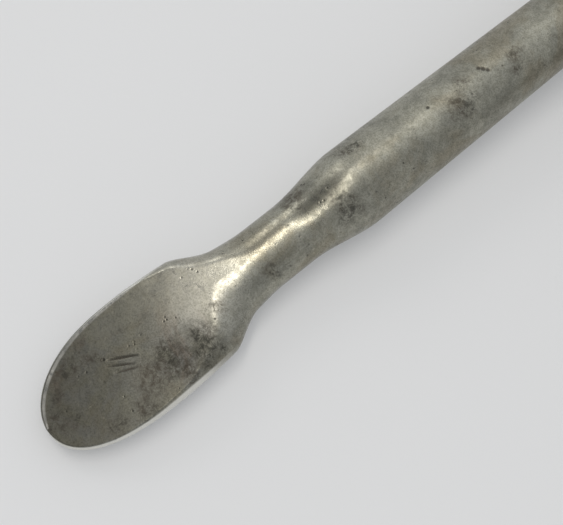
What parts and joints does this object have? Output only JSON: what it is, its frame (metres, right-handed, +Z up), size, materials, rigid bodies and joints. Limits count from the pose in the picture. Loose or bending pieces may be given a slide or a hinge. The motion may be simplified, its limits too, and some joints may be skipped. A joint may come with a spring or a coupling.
{
  "type": "laryngoscope",
  "caption": "Hand-held direct laryngoscope: forged paddle handle, tubular speculum with a pull-out slide, and a removable light carrier with a distal lamp.",
  "frame": {"origin": "bottom centre of the whole instrument's box, with the instrument lying on its side", "axes": "+X from the speculum's mouth towards its beak, -Y from the speculum towards the paddle end of the handle, +Z up from the surface it lies on"},
  "size_m": [0.1984, 0.1818, 0.0287],
  "materials": {
    "worn_steel": "dull satin, darkened by age",
    "nickel_plate": "worn nickel plate",
    "screw_steel": "bright turned steel",
    "brass": "dulled brass",
    "vulcanite": "black hard rubber",
    "lamp_glass": "clear glass"
  },
  "bodies": {
    "speculum": {"handle_shaft": "worn_steel", "handle_pin": "worn_steel", "handle_ferrule": "nickel_plate", "handle_arm": "nickel_plate", "saddle_rivet_rear": "nickel_plate", "saddle_rivet_front": "nickel_plate", "speculum_trough": "nickel_plate", "mouth_ring": "nickel_plate", "slide_rail_upper": "nickel_plate", "slide_rail_lower": "nickel_plate", "light_canal": "nickel_plate", "carrier_block": "nickel_plate"},
    "slide": {"slide_cover": "nickel_plate", "slide_thumb_tab": "nickel_plate", "slide_rivet_rear": "nickel_plate", "slide_rivet_front": "nickel_plate"},
    "lock_screw": {"lock_screw": "screw_steel"},
    "light_carrier": {"carrier_stem": "screw_steel", "carrier_conductor": "brass", "insulating_bead_rear": "vulcanite", "insulating_bead_front": "vulcanite", "carrier_hub": "nickel_plate", "carrier_insulator": "vulcanite", "contact_pin": "brass", "lamp_socket": "nickel_plate"},
    "lamp": {"lamp_base": "brass", "lamp_bulb": "lamp_glass"}
  },
  "joints": [
    {"name": "slide_pull", "type": "slide", "parent": "speculum", "child": "slide", "axis": [-1, 0, 0], "range_m": [0, 0.135]},
    {"name": "carrier_pull", "type": "slide", "parent": "speculum", "child": "light_carrier", "axis": [-1, 0, 0], "range_m": [0, 0.165]},
    {"name": "lock_screw_turn", "type": "hinge", "parent": "speculum", "child": "lock_screw", "pos_m": [-0.07872, 0.06612, 0.02426], "axis": [0, -0.0532, 0.9986], "range_deg": [0, 540]},
    {"name": "lamp_turn", "type": "hinge", "parent": "light_carrier", "child": "lamp", "pos_m": [0.07438, 0.06633, 0.02037], "axis": [1, 0, 0], "range_deg": [0, 720]}
  ]
}
